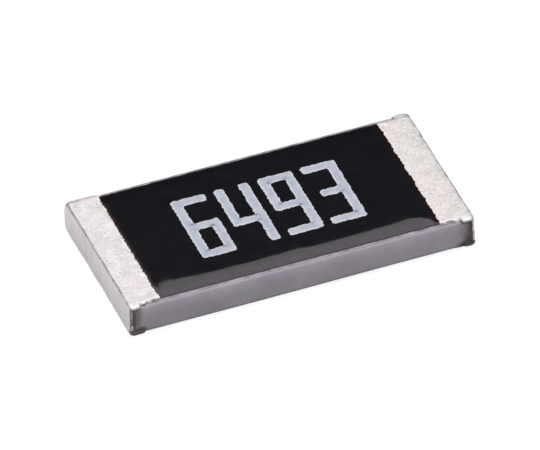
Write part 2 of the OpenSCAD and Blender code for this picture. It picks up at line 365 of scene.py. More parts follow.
# Layers that the terminals and the overcoat hide: the CAD nodes of each, by the start of
# their names, its two tones, how metallic and rough it is, and the size and depth of its grain
HIDDEN_LAYERS = {
    "fired_silver": {
        "nodes": ("top_electrode", "bottom_electrode"),
        "light": (0.78, 0.77, 0.75), "dark": (0.66, 0.65, 0.63),
        "metallic": 0.9, "roughness": 0.5, "size": 0.03, "relief": 0.001},
    "nickel_plate": {
        "nodes": ("nickel_barrier",),
        "light": (0.66, 0.64, 0.58), "dark": (0.56, 0.54, 0.49),
        "metallic": 1.0, "roughness": 0.35, "size": 0.05, "relief": 0.0005},
    "sputtered_end_metal": {
        "nodes": ("end_electrode",),
        "light": (0.50, 0.50, 0.52), "dark": (0.42, 0.42, 0.44),
        "metallic": 1.0, "roughness": 0.4, "size": 0.04, "relief": 0.0004},
    "resistor_paste": {
        "nodes": ("resistor_film",),
        "light": (0.10, 0.10, 0.11), "dark": (0.07, 0.07, 0.08),
        "metallic": 0.0, "roughness": 0.7, "size": 0.03, "relief": 0.001},
    "glass_coat": {
        "nodes": ("glass_coat",),
        "light": (0.30, 0.38, 0.34), "dark": (0.24, 0.31, 0.28),
        "metallic": 0.0, "roughness": 0.15, "size": 0.10, "relief": 0.0003},
}
ROUGHNESS_SPREAD = 0.06


# Sums on points

def node_box(node):
    """Lowest and highest corner of a CAD node, in millimetres."""
    low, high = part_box(node)
    return np.array(low) / MM, np.array(high) / MM


def smooth(t):
    """Smooth step 3t^2 - 2t^3 of t held between 0 and 1."""
    t = np.clip(t, 0.0, 1.0)
    return t * t * (3.0 - 2.0 * t)


def grow(value, place, run, strength=1.0):
    """A strength times the smooth step of how far a value is past a place, in shares of a
    run. With a negative run it grows as the value falls."""
    return strength * smooth((value - place) / run)


def fade(value, run):
    """Smooth step that is one where a value is zero and falls to zero a run further on."""
    return smooth(1 - value / run)


def eased(x, places, values):
    """Values at the given places, joined by smooth steps from each to the next."""
    index = np.clip(np.searchsorted(places, x) - 1, 0, len(places) - 2)
    places, values = np.array(places), np.array(values)
    share = (x - places[index]) / (places[index + 1] - places[index])
    return values[index] + smooth(share) * (values[index + 1] - values[index])


def quarter_round(t):
    """Height of a quarter circle that starts upright at t = 0 and is level from t = 1."""
    return np.sqrt(1.0 - (1.0 - np.clip(t, 0.0, 1.0)) ** 2)


def waviness(points, cell, seed):
    """Smooth random values from -1 to 1 in space. Each point of a cubic lattice of the
    given cell has one random value, and the eight round a point are blended by the
    smooth step."""
    table = np.random.default_rng(seed).uniform(-1, 1, (NOISE_TABLE,) * 3)
    scaled = np.asarray(points, float) / cell
    base = np.floor(scaled).astype(int)
    share = smooth(scaled - base)
    total = np.zeros(len(scaled))
    for corner in np.ndindex(2, 2, 2):
        weight = np.prod(np.where(corner, share, 1.0 - share), axis=1)
        index = (base + corner) % NOISE_TABLE
        total += weight * table[index[:, 0], index[:, 1], index[:, 2]]
    return total


def noise(points, layers, seed, step=1):
    """Sum of layers, each a strength times the waviness of a cell size. The layers' seeds
    lie a step apart."""
    return sum(strength * waviness(points, cell, seed + step * index)
               for index, (strength, cell) in enumerate(layers))


def on_axis(x):
    """Points of the x axis, for a noise that varies along the chip only."""
    return np.stack([x, 0 * x, 0 * x], 1)


# Skins and pieces

def rulings(low, high, pitch, round_low=0.0, round_high=0.0):
    """Lattice lines from low to high, about pitch apart. Where an end has a round of the
    given radius, the lines near it stand at the tangents of even angles, so that the
    round gets even steps."""
    tangents = np.tan(np.radians(np.linspace(0, 45, EDGE_STEPS + 1)))
    start = low + round_low * (1 - tangents[::-1]) if round_low else np.array([low])
    end = high - round_high * (1 - tangents) if round_high else np.array([high])
    count = max(int(round((end[0] - start[-1]) / pitch)), 1)
    return np.concatenate([start, np.linspace(start[-1], end[0], count + 1)[1:-1], end])


def grid_quads(ids):
    """Quads between neighbouring rows and columns of a grid of point numbers."""
    return np.stack([ids[:-1, :-1], ids[1:, :-1], ids[1:, 1:], ids[:-1, 1:]], -1).reshape(-1, 4)


def box_skin(xs, ys, zs):
    """Points and outward quads of the closed skin of a box. Each of its six faces is the
    grid of two of the three sets of lattice lines at one end of the third, and the
    points that faces share are one."""
    shape = (len(xs), len(ys), len(zs))
    ids = np.arange(np.prod(shape)).reshape(shape)
    faces = [ids[-1], ids[0].T, ids[:, -1].T, ids[:, 0], ids[:, :, -1], ids[:, :, 0].T]
    quads = np.concatenate([grid_quads(face) for face in faces])
    used, quads = np.unique(quads, return_inverse=True)
    i, j, k = np.unravel_index(used, shape)
    return np.stack([xs[i], ys[j], zs[k]], 1), quads.reshape(-1, 4)


def soften(points, low, high, reach, corner, power):
    """Takes the edges off a box from low to high, and gives the outward directions too.
    In plan, the square of side corner at each upright edge becomes a quarter disc: a
    point keeps its direction from the square's inner corner, and its distance is the
    larger of its two offsets. What lies within reach of the outline, and within reach of
    the top or bottom, is then measured in shares of reach, and the sum of the two
    shares' powers is brought to one: power 2 makes round edges and power 1 flat bevels."""
    corner = np.broadcast_to(corner, len(points))[:, None]
    core = np.clip(points[:, :2], low[:2] + corner, high[:2] - corner)
    offset = points[:, :2] - core
    out = np.abs(offset).max(1)
    toward = offset / np.maximum(np.hypot(*offset.T), TINY)[:, None]
    run = np.maximum(np.abs(toward) @ reach[:2], TINY)
    core_z = np.clip(points[:, 2], low[2] + reach[2], high[2] - reach[2])
    shares = np.stack([np.clip(out - corner[:, 0] + run, 0, None) / run,
                       (points[:, 2] - core_z) / reach[2]], 1)
    size = (np.abs(shares) ** power).sum(1) ** (1.0 / power)
    shares = shares / np.maximum(size, TINY)[:, None]
    out = np.where(shares[:, 0] > 0, corner[:, 0] + run * (shares[:, 0] - 1), out)
    lean = np.sign(shares) * np.abs(shares) ** (power - 1.0) / np.stack([run, 0 * run + reach[2]], 1)
    outward = np.concatenate([toward * lean[:, :1], lean[:, 1:]], 1)
    outward /= np.maximum(np.linalg.norm(outward, axis=1), TINY)[:, None]
    plan = core + toward * out[:, None]
    return np.concatenate([plan, (core_z + reach[2] * shares[:, 1])[:, None]], 1), outward


def cut_out(quads, field, limit):
    """Keeps the quads that have a corner whose field is above the limit, and says which
    points they use."""
    quads = quads[field[quads].max(1) > limit]
    used, quads = np.unique(quads, return_inverse=True)
    return used, quads.reshape(-1, 4)


def thicken(points, quads, outward, depth):
    """Closes an open skin into a shell. A second skin lies depth further in, against the
    outward directions, and a strip joins the two along each edge that only one quad has."""
    edges = quads[:, [0, 1, 1, 2, 2, 3, 3, 0]].reshape(-1, 2)
    key = edges.min(1) * len(points) + edges.max(1)
    index, count = np.unique(key, return_index=True, return_counts=True)[1:]
    rim = edges[index[count == 1]]
    inner = len(points)
    strip = np.stack([rim[:, 1], rim[:, 0], rim[:, 0] + inner, rim[:, 1] + inner], 1)
    points = np.concatenate([points, points - depth * outward])
    return points, np.concatenate([quads, quads[:, ::-1] + inner, strip])


def add_piece(name, points, quads, material, slot, node=None, **values):
    """Makes a piece from points in millimetres. Each further value is one number per
    point that the material reads."""
    mesh = bpy.data.meshes.new(name)
    mesh.from_pydata((points * MM).tolist(), [], quads.tolist())
    mesh.shade_smooth()
    for label, numbers in values.items():
        layer = mesh.attributes.new(label, "FLOAT", "POINT")
        layer.data.foreach_set("value", np.asarray(numbers, np.float32))
    mesh.materials.append(material)
    piece = bpy.data.objects.new(name, mesh)
    bpy.context.scene.collection.objects.link(piece)
    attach(piece, "root")
    if node:
        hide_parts(node)
    return piece


# Building blocks of the materials

def start_material(name):
    """A node material and its Principled shader."""
    material = bpy.data.materials.new(name)
    material.use_nodes = True
    return material, material.node_tree, material.node_tree.nodes["Principled BSDF"]


def place(tree, kind, **settings):
    """Adds a node and sets its properties."""
    made = tree.nodes.new(kind)
    for label, value in settings.items():
        setattr(made, label, value)
    return made


def feed(tree, target, source):
    """Links a source socket to a target socket, or sets a plain number or colour there."""
    if isinstance(source, bpy.types.NodeSocket):
        tree.links.new(source, target)
    else:
        target.default_value = source


def calculate(tree, operation, *values, clamp=False):
    """Result of one Math node."""
    made = place(tree, "ShaderNodeMath", operation=operation, use_clamp=clamp)
    for socket, value in zip(made.inputs, values):
        feed(tree, socket, value)
    return made.outputs[0]


def line(tree, value, start, slope):
    """A start plus a slope times the value."""
    return calculate(tree, "MULTIPLY_ADD", value, slope, start)


def spread(tree, value, low=0.0, high=1.0, new_low=0.0, new_high=1.0):
    """Value taken from the range low to high to a new range, and held inside it."""
    made = place(tree, "ShaderNodeMapRange")
    for socket, source in zip(made.inputs, (value, low, high, new_low, new_high)):
        feed(tree, socket, source)
    return made.outputs[0]


def blend_colours(tree, share, first, second):
    """Mix of two colours by a share from 0 to 1."""
    made = place(tree, "ShaderNodeMix", data_type="RGBA")
    feed(tree, made.inputs["Factor"], share)
    feed(tree, made.inputs["A"], first)
    feed(tree, made.inputs["B"], second)
    return made.outputs["Result"]


def rgb(values):
    """Colour as a socket takes it, from red, green and blue."""
    return (*values, 1.0)


def colour(name):
    """Colour of a finish, as a socket takes it."""
    return rgb(COLOURS[name])


def grey(value):
    """Neutral colour of one value."""
    return rgb((value, value, value))


def start_group(name, inputs, outputs):
    """A shader node group with float inputs (name and value) and float outputs."""
    tree = bpy.data.node_groups.new(name, "ShaderNodeTree")
    for label, value in inputs:
        socket = tree.interface.new_socket(label, in_out="INPUT", socket_type="NodeSocketFloat")
        socket.default_value = value
    for label in outputs:
        tree.interface.new_socket(label, in_out="OUTPUT", socket_type="NodeSocketFloat")
    return tree, place(tree, "NodeGroupInput").outputs, place(tree, "NodeGroupOutput").inputs


def position_over(tree, size):
    """The piece's own coordinates divided by a size in millimetres."""
    coordinates = place(tree, "ShaderNodeTexCoord").outputs["Object"]
    per_metre = calculate(tree, "DIVIDE", 1.0 / MM, size)
    scaled = place(tree, "ShaderNodeVectorMath", operation="SCALE")
    feed(tree, scaled.inputs[0], coordinates)
    feed(tree, scaled.inputs["Scale"], per_metre)
    return scaled.outputs[0]


def make_grain_group():
    """Grain: fractal noise of a size in millimetres, between 0 and 1."""
    tree, inputs, outputs = start_group(
        "grain", [("Size", 0.05), ("Detail", 3.0), ("Low", 0.3), ("High", 0.7)], ["Value"])
    fractal = place(tree, "ShaderNodeTexNoise")
    feed(tree, fractal.inputs["Vector"], position_over(tree, inputs["Size"]))
    fractal.inputs["Scale"].default_value = 1.0
    feed(tree, fractal.inputs["Detail"], inputs["Detail"])
    feed(tree, outputs["Value"], spread(tree, fractal.outputs[0], inputs["Low"], inputs["High"]))
    return tree


def make_specks_group():
    """Specks: round spots in a share of the cells of a lattice of a size in millimetres."""
    tree, inputs, outputs = start_group(
        "specks", [("Spacing", 0.2), ("Radius", 0.2), ("Share", 0.3)], ["Mask"])
    cells = place(tree, "ShaderNodeTexVoronoi")
    feed(tree, cells.inputs["Vector"], position_over(tree, inputs["Spacing"]))
    cells.inputs["Scale"].default_value = 1.0
    spot = spread(tree, cells.outputs["Distance"], inputs["Radius"], 0.0)
    chance = place(tree, "ShaderNodeSeparateColor")
    feed(tree, chance.inputs[0], cells.outputs["Color"])
    chosen = calculate(tree, "LESS_THAN", chance.outputs[0], inputs["Share"])
    feed(tree, outputs["Mask"], calculate(tree, "MULTIPLY", spot, chosen))
    return tree


GRAIN = make_grain_group()
SPECKS = make_specks_group()


def use_group(tree, group, output, **values):
    """Output of a group that is placed in a material with its own values."""
    made = place(tree, "ShaderNodeGroup", node_tree=group)
    for label, value in values.items():
        made.inputs[label].default_value = value
    return made.outputs[output]


def grain(tree, size, detail=3.0, low=0.3, high=0.7):
    """Grain of a size in millimetres."""
    return use_group(tree, GRAIN, "Value", Size=size, Detail=detail, Low=low, High=high)


def specks(tree, spacing, radius, share):
    """Specks about spacing millimetres apart; the radius is a share of that."""
    return use_group(tree, SPECKS, "Mask", Spacing=spacing, Radius=radius, Share=share)


def bump(tree, shader, height, depth):
    """Surface relief of a depth in millimetres on a shader."""
    made = place(tree, "ShaderNodeBump")
    made.inputs["Strength"].default_value = 1.0
    made.inputs["Distance"].default_value = depth * MM
    feed(tree, made.inputs["Height"], height)
    feed(tree, shader.inputs["Normal"], made.outputs[0])


def piece_value(tree, label):
    """A number that the piece's mesh carries at its points."""
    return place(tree, "ShaderNodeAttribute", attribute_name=label).outputs["Fac"]


def piece_share(tree, label, most):
    """A number that the piece's mesh carries at its points, times the most it may do."""
    return calculate(tree, "MULTIPLY", piece_value(tree, label), most)


# Materials

def make_alumina():
    """Fired alumina: near white, finely grained, with a faint violet and pink painted tint of
    shade in patches on the front side, and greyed where the darkening says: painted shade with some
    stain and soot."""
    material, tree, shader = start_material("fired_alumina")
    clouds = grain(tree, size=0.45, detail=2.0)
    # Painted tint of shade: violet and pink clouds for the front side only
    violet = blend_colours(tree, clouds, colour("violet_shade"), colour("violet_light"))
    pink = calculate(tree, "MULTIPLY", grain(tree, size=0.70, detail=1.0, low=0.45, high=0.70), 0.6)
    front_shade_tint = blend_colours(tree, pink, violet, colour("alumina_pink"))
    plain = blend_colours(tree, clouds, colour("alumina_shade"), colour("alumina_light"))
    sided = blend_colours(tree, piece_value(tree, "front"), plain, front_shade_tint)
    # Painted shade, with some stain and soot, greys the plate where the piece says
    stained = blend_colours(tree, piece_value(tree, "stain"), sided, colour("alumina_stain"))
    feed(tree, shader.inputs["Base Color"], stained)
    rough = spread(tree, grain(tree, size=0.06), new_low=0.5, new_high=0.65)
    feed(tree, shader.inputs["Roughness"], rough)
    bump(tree, shader, grain(tree, size=0.03, detail=4.0), depth=0.0012)
    return material


def make_overcoat():
    """Black resin with a smooth faint gloss: a mottled brownish painted sheen where it
    slopes, brown where it is printed thin, and a grey painted highlight on its front wall."""
    material, tree, shader = start_material("black_resin")
    dark = blend_colours(tree, grain(tree, size=0.3), colour("resin_dark"), colour("resin_light"))
    # Painted sheen: mottled brownish colour where the piece says it slopes
    mottles = grain(tree, size=0.16, low=0.2, high=0.7)
    sheen_on_slope = calculate(tree, "MULTIPLY", piece_value(tree, "slope"), mottles)
    with_sheen = blend_colours(tree, calculate(tree, "MULTIPLY", sheen_on_slope, 0.4, clamp=True), dark,
                            colour("resin_sheen"))
    thin = blend_colours(tree, piece_value(tree, "thin"), with_sheen, colour("resin_thin"))
    # Painted highlight: the front wall is made grey
    with_wall_highlight = blend_colours(tree, piece_value(tree, "wall"), thin, colour("resin_wall_highlight"))
    feed(tree, shader.inputs["Base Color"], with_wall_highlight)
    rough = spread(tree, grain(tree, size=0.2), new_low=0.085, new_high=0.115)
    feed(tree, shader.inputs["Roughness"], rough)
    shader.inputs["IOR"].default_value = 1.447
    bump(tree, shader, grain(tree, size=0.15, detail=2.0), depth=0.00012)
    return material


def tin_colour(tree, coarse, grains, bright):
    """Colour of the tin, layer on layer: two tones that follow the grains and broader
    wrinkles, pink and green clouds, bright pebbles and glints, darker pits, upright
    streaks, the painted highlight of the front rim, and the darkening, which is mostly painted shade
    with some stains."""
    wrinkles = grain(tree, size=0.22, detail=2.0, low=0.40, high=0.65)
    wrinkled = line(tree, calculate(tree, "MULTIPLY", wrinkles, coarse), start=0.25, slope=1.0)
    shade = calculate(tree, "MULTIPLY", grains, wrinkled, clamp=True)
    plated = blend_colours(tree, shade, colour("tin_light"), colour("tin_shade"))
    pinkish = blend_colours(tree, piece_share(tree, "pink", 0.75), plated, colour("tin_pink"))
    cloudy = blend_colours(tree, piece_share(tree, "green", 0.70), pinkish, colour("tin_green"))
    pebbly = piece_value(tree, "pebbly")
    pebbles = calculate(tree, "MULTIPLY", specks(tree, spacing=0.085, radius=0.55, share=1.1), pebbly)
    pebbled = blend_colours(tree, pebbles, cloudy, colour("tin_pebble"))
    glints = calculate(tree, "MULTIPLY", specks(tree, spacing=0.065, radius=0.36, share=0.35), coarse)
    glinting = blend_colours(tree, calculate(tree, "MULTIPLY", glints, 0.8), pebbled,
                             colour("tin_glint"))
    pits = calculate(tree, "MULTIPLY", specks(tree, spacing=0.075, radius=0.36, share=0.30), coarse)
    depth = line(tree, pebbly, start=0.40, slope=0.60)
    pitted = blend_colours(tree, calculate(tree, "MULTIPLY", pits, depth), glinting,
                           colour("tin_pit"))
    streaked = blend_colours(tree, piece_value(tree, "streak"), pitted, colour("tin_streak"))
    # Painted highlight on the front rim
    highlighted_rim = blend_colours(tree, bright, streaked, colour("tin_rim_highlight"))
    # Darkening: mostly painted shade, with some stains
    return blend_colours(tree, piece_value(tree, "stain"), highlighted_rim, colour("tin_stain"))


def make_tin():
    """Matte tin: rougher and less metallic where it is coarse, smooth on the end face,
    and less metallic too where its front rim takes the painted highlight."""
    material, tree, shader = start_material("matte_tin")
    coarse = piece_value(tree, "coarse")
    bright = piece_value(tree, "bright")
    grains = grain(tree, size=0.040)
    feed(tree, shader.inputs["Base Color"], tin_colour(tree, coarse, grains, bright))
    feed(tree, shader.inputs["Roughness"], line(tree, coarse, start=0.42, slope=0.10))
    matte = calculate(tree, "MAXIMUM", coarse, bright)
    feed(tree, shader.inputs["Metallic"], line(tree, matte, start=0.65, slope=-0.30))
    relief = calculate(tree, "MULTIPLY", grains, line(tree, coarse, start=0.12, slope=1.0))
    bump(tree, shader, relief, depth=0.0026)
    return material


def make_ink():
    """Bluish white printed ink: lighter at the rim of the strokes, lavender further in,
    with a few darker dots, and thin enough in the inner corners for the black to show."""
    material, tree, shader = start_material("bluish_white_ink")
    inner = blend_colours(tree, grain(tree, size=0.10), colour("ink_shade"), colour("ink_light"))
    rimmed = blend_colours(tree, piece_value(tree, "rim"), inner, colour("ink_rim"))
    dots = calculate(tree, "MULTIPLY", specks(tree, spacing=0.15, radius=0.35, share=0.10), 0.45)
    spotted = blend_colours(tree, dots, rimmed, colour("ink_dot"))
    thinned = blend_colours(tree, piece_value(tree, "thin"), spotted, colour("ink_thin"))
    feed(tree, shader.inputs["Base Color"], thinned)
    rough = spread(tree, grain(tree, size=0.05), new_low=0.5, new_high=0.7)
    feed(tree, shader.inputs["Roughness"], rough)
    bump(tree, shader, grain(tree, size=0.03), depth=0.001)
    return material


def make_plated(name, light, dark, metallic, roughness, size, relief):
    """Plain plated, printed or sputtered layer: two tones of grain with a fine relief,
    and a roughness that varies a little in patches of twice the size."""
    material, tree, shader = start_material(name)
    tones = blend_colours(tree, grain(tree, size), rgb(dark), rgb(light))
    feed(tree, shader.inputs["Base Color"], tones)
    rough = spread(tree, grain(tree, 2 * size), new_low=roughness - ROUGHNESS_SPREAD,
                   new_high=roughness + ROUGHNESS_SPREAD)
    feed(tree, shader.inputs["Roughness"], rough)
    shader.inputs["Metallic"].default_value = metallic
    bump(tree, shader, grain(tree, size), relief)
    return material


def make_floor():
    """White table for the camera and for reflections, a dim one for diffuse light, and
    see-through from below. Part of the white is lit, so that shadows show."""
    material, tree, shader = start_material("white_table")
    tree.nodes.remove(shader)
    paths = place(tree, "ShaderNodeLightPath").outputs
    mirrored = paths["Is Glossy Ray"]
    direct = calculate(tree, "ADD", paths["Is Camera Ray"], mirrored)
    seen = calculate(tree, "ADD", direct, paths["Is Transmission Ray"], clamp=True)
    lit = blend_colours(tree, seen, grey(FLOOR_BOUNCE), grey(FLOOR_LIT))
    plain = place(tree, "ShaderNodeBsdfDiffuse")
    feed(tree, plain.inputs["Color"], blend_colours(tree, mirrored, lit, grey(MIRRORED_LIT)))
    white = spread(tree, mirrored, new_low=FLOOR_GLOW, new_high=MIRRORED_GLOW)
    glow = place(tree, "ShaderNodeEmission")
    feed(tree, glow.inputs["Strength"], calculate(tree, "MULTIPLY", seen, white))
    both = place(tree, "ShaderNodeAddShader")
    feed(tree, both.inputs[0], plain.outputs[0])
    feed(tree, both.inputs[1], glow.outputs[0])
    pick = place(tree, "ShaderNodeMixShader")
    feed(tree, pick.inputs[0], place(tree, "ShaderNodeNewGeometry").outputs["Backfacing"])
    feed(tree, pick.inputs[1], both.outputs[0])
    feed(tree, pick.inputs[2], place(tree, "ShaderNodeBsdfTransparent").outputs[0])
    feed(tree, tree.nodes["Material Output"].inputs["Surface"], pick.outputs[0])
    return material


# Ceramic plate

def side_lean(points):
    """How far the snapped front side falls back: a power of the height above the start,
    so that it leans more and more towards the scribed top edge."""
    height = np.clip((points[:, 2] - LEAN_START) / LEAN_RUN, 0, 1)
    return np.where(points[:, 1] < 0, LEAN * height ** LEAN_POWER, 0.0)


def plate_stain(points):
    """Grey darkening of the long sides, painted shade with some stain near the ends, as the
    largest of six: a faint painted shade that fades towards the top, one that grows over a
    stretch before each end, a dark line beside the tin, and patches low down at both ends."""
    x, z = points[:, 0], points[:, 2]
    blur = noise(points, SIDE_BLUR, SIDE_BLUR_SEED)
    faint = (FAINT_SHADE - grow(x, *FAINT_LOSS)) * (1 - grow(z + FAINT_BLUR * blur, *FAINT_HEIGHT))
    right = grow(x + blur - RIGHT_DARKENING_LEAN * (z - MIDDLE_HEIGHT), *RIGHT_DARKENING)
    left = grow(x - blur, *LEFT_DARKENING)
    beside_tin = grow(np.abs(x) + TIN_LINE_BLUR * blur, *TIN_LINE)
    height = z - LOW_BLUR * blur
    low_left = grow(x - blur, *LOW_LEFT_DARKENING) * grow(height, *LOW_LEFT_HEIGHT)
    low_right = grow(x + blur, *LOW_RIGHT_DARKENING) * grow(height, *LOW_RIGHT_HEIGHT)
    return np.max([faint, right, left, beside_tin, low_left, low_right], axis=0)


def top_edge_shade_and_soot(points, outward):
    """Grey darkening of the scribed top edge, painted shade with some soot: light on the
    bevel and heavier on the rim of the top face. Beside the tin pads it is heavier in front and lighter
    behind."""
    upper = grow(points[:, 2], *EDGE_DARK_HEIGHT)
    level = grow(outward[:, 2], *EDGE_DARK_LEVEL)
    beside = grow(np.abs(points[:, 0]), *EDGE_DARK_PAD_PLACE) * np.where(points[:, 1] < 0, *EDGE_DARK_BESIDE_PADS)
    speckle = EDGE_DARK_MEAN + noise(points, EDGE_DARK_SPECKLE, EDGE_DARK_SEED)
    return np.clip(upper * speckle * (EDGE_DARK_ON_BEVEL + (EDGE_DARK_ON_RIM + beside) * level), 0, 1)


def make_plate():
    """The alumina plate: a box with round upright corners whose other edges are taken
    off by uneven worn bevels, with the underside a little higher than drawn. Its sides
    are moved in and out by a slow wave and a fine grain, its front side leans, and its
    lower front edge rises to the right and comes down again before the tin."""
    low, high = node_box("ceramic_substrate")
    low[2] += PLATE_LIFT
    rulers = [rulings(low[i], high[i], PLATE_PITCH[i], PLATE_BEVEL[i], PLATE_BEVEL[i])
              for i in range(3)]
    skin, quads = box_skin(*rulers)
    points, outward = soften(skin, low, high, PLATE_BEVEL, PLATE_CORNER, PLATE_WEAR)
    upright = 1.0 - np.abs(outward[:, 2])
    wave = noise(points, PLATE_WAVES, PLATE_SEED)
    points = points + outward * (upright * (wave - PLATE_WAVE))[:, None]
    points[:, 1] += side_lean(points)
    x, y, z = points.T
    lower_front = grow(y, *FRONT_RISE_SIDE) * grow(z, *FRONT_RISE_HEIGHT)
    risen = grow(x, *FRONT_RISE_START) * (1 - grow(x, *FRONT_RISE_END))
    points[:, 2] += FRONT_RISE * risen * lower_front
    # Darkening of the sides and top edge: painted shade with some stain and soot
    stain = np.maximum(plate_stain(points) * smooth(2 * upright), top_edge_shade_and_soot(points, outward))
    # Painted tint of shade on the front side, stronger where it faces squarely front
    shade_tint = FRONT_SHADE_TINT + (1 - FRONT_SHADE_TINT) * np.abs(outward[:, 1])
    add_piece("ceramic_plate", points, quads, make_alumina(), "alumina", "ceramic_substrate",
              stain=stain, front=np.where(points[:, 1] < 0, shade_tint, 0))


# Overcoat

def coat_height(x, y):
    """Height of the overcoat: level at the crown, and falling beyond the start of each
    roll-off by slope t + curve t^2, where t is the distance run, with a short round at
    the start. Towards the two ends it falls by curve t^2."""
    low, high = node_box("overcoat")
    jitter = noise(on_axis(x), COAT_START_WAVE, COAT_START_SEED)
    start = np.where(y < 0, eased(x, ROLL_PLACES, ROLL_STARTS) + jitter, COAT_BACK_START)
    past = np.abs(y) - start
    blend = COAT_BLEND + grow(x, *COAT_LEFT_BLEND)
    run = 0.5 * (past + np.sqrt(past ** 2 + blend ** 2))
    slope = COAT_SLOPE - grow(x, *COAT_LEFT_EASE)
    fall = slope * run + COAT_CURVE * run ** 2
    to_end = np.minimum(x - low[0], high[0] - x)
    end_run = np.clip(COAT_END_ROLL - to_end, 0, None)
    return high[2] - fall - COAT_END_CURVE * end_run ** 2


def make_coat():
    """The overcoat: a box whose top follows the coat's height and is rounded into its
    walls, whose long edges are set in and wave a little, and whose ragged ends are
    tucked below the tin."""
    low, high = node_box("overcoat")
    edge = COAT_EDGE_ROUND
    rulers = [rulings(low[0], high[0], COAT_PITCH[0], edge, edge),
              rulings(low[1], high[1], COAT_PITCH[1], edge, edge),
              np.linspace(0, 1, COAT_LEVELS)]
    skin, quads = box_skin(*rulers)
    x, y, share = skin.T
    to_end = np.minimum(high[0] - x, x - low[0])
    to_side = high[1] - np.abs(y)
    near_end = fade(to_end, COAT_END_ZONE)
    border = fade(to_side, COAT_EDGE_BORDER)
    wave = noise(on_axis(x), COAT_EDGE_WAVE, COAT_EDGE_SEED)
    ragged = noise(np.stack([np.sign(x), y, 0 * x], 1), COAT_END_RAGGED, COAT_END_SEED)
    shift = np.where(x < 0, -COAT_END_SHIFT[0], COAT_END_SHIFT[1])
    # Where the front wall takes its painted highlight
    wall = fade(to_side, edge) * (y < 0)
    x = x + near_end * (ragged + shift)
    y = y - np.sign(y) * border * (wave + COAT_EDGE_INSET)
    rounded = edge * (1 - quarter_round(np.minimum(to_side, to_end) / edge))
    z = low[2] + share * (coat_height(x, y) - rounded - low[2])
    # How much painted sheen each roll-off takes
    slope = grow(-y, *COAT_FRONT_SHEEN) + grow(y, *COAT_REAR_SHEEN)
    add_piece("overcoat_print", np.stack([x, y, z], 1), quads, make_overcoat(), "overcoat",
              "overcoat", thin=near_end, slope=slope, wall=wall)


# Tin terminals

def lip_starts(points, end, look):
    """Distance from the middle of the chip at which each point's lip begins: the end less
    the reach of the front, rear or bottom lip."""
    upper = np.where(points[:, 1] < 0, look["front_lip"], look["rear_lip"])
    return end - np.where(points[:, 2] > MIDDLE_HEIGHT, upper, look["bottom_lips"])


def end_block(low, high):
    """Points, outward directions and quads of the rounded block of one end. Its front
    corners have one radius. The radius of the rear ones grows from middle height to the
    top and bottom with a power of the distance."""
    skin, quads = box_skin(
        rulings(low[0], high[0], TIN_PITCH, 0, TIN_EDGE),
        rulings(low[1], high[1], TIN_PITCH, TIN_EDGE, TIN_EDGE),
        rulings(low[2], high[2], TIN_PITCH, TIN_EDGE, TIN_EDGE))
    height = np.abs(2 * (skin[:, 2] - low[2]) / (high[2] - low[2]) - 1)
    middle, outer = TIN_REAR_CORNER
    rear = middle + (outer - middle) * height ** TIN_CORNER_POWER
    corner = np.where(skin[:, 1] < 0, TIN_FRONT_CORNER, rear)
    points, outward = soften(skin, low - [TIN_OPEN_SPARE, 0, 0], high, np.full(3, TIN_EDGE),
                             corner, 2.0)
    return points, outward, quads


def tin_field(points, inner_top, high, look):
    """How far inside the plated area a point of the end's skin lies. The area is the
    largest of three: the pads on the top and bottom faces, which widen before the lips,
    the lip near the end that reaches round the long edges, and the strip that reaches
    round the upright corners. Its borders are ragged by two sizes of noise, and the
    pads' long borders drift by a slow one."""
    along, width, z = np.abs(points[:, 0]), np.abs(points[:, 1]), points[:, 2]
    ragged = noise(points, TIN_RAGGED, look["seed"] + TIN_DRAWS["border"])
    drift = noise(points, TIN_DRIFT, look["seed"] + TIN_DRAWS["drift"])
    inner = np.where(z > MIDDLE_HEIGHT, inner_top, TIN_BOTTOM_INNER)
    starts = lip_starts(points, high[0], look)
    half = TIN_PAD_HALF + grow(along - starts, *TIN_PAD_FLARE)
    pad = np.minimum(along - inner, half - width + PAD_RAGGED * ragged + drift)
    lip = np.minimum(along - starts,
                     np.maximum(z - high[2] + TIN_LIP_DEPTH, TIN_LIP_DEPTH - z))
    strip = along - high[0] + look["strips"]
    return np.max([pad, lip + LIP_RAGGED * ragged, strip + STRIP_RAGGED * ragged], axis=0)


def tin_lift(points, outward, field, coarse, look):
    """How far the tin stands off the block: a bead along the pads' borders, grains that
    are coarse on the pads and fine elsewhere, and a slow swell, less the quarter round
    in which the tin sinks to the plate along its border."""
    flat = np.abs(outward[:, 2])
    step = TIN_SIDE_STEP + (TIN_TOP_STEP - TIN_SIDE_STEP) * flat + side_lean(points) * (1 - flat)
    sink = step * (1 - quarter_round(field / TIN_BORDER)) + np.clip(-field, 0, None)
    bead = TIN_BEAD * np.exp(-((field - TIN_BORDER) / TIN_BEAD_WIDTH) ** 2) * coarse
    grains = noise(points, TIN_GRAINS, look["seed"] + TIN_DRAWS["grain"])
    swell = noise(points, TIN_SWELL, look["seed"] + TIN_DRAWS["swell"])
    return bead + grains * (TIN_END_GRAIN + (1 - TIN_END_GRAIN) * coarse) + swell - sink


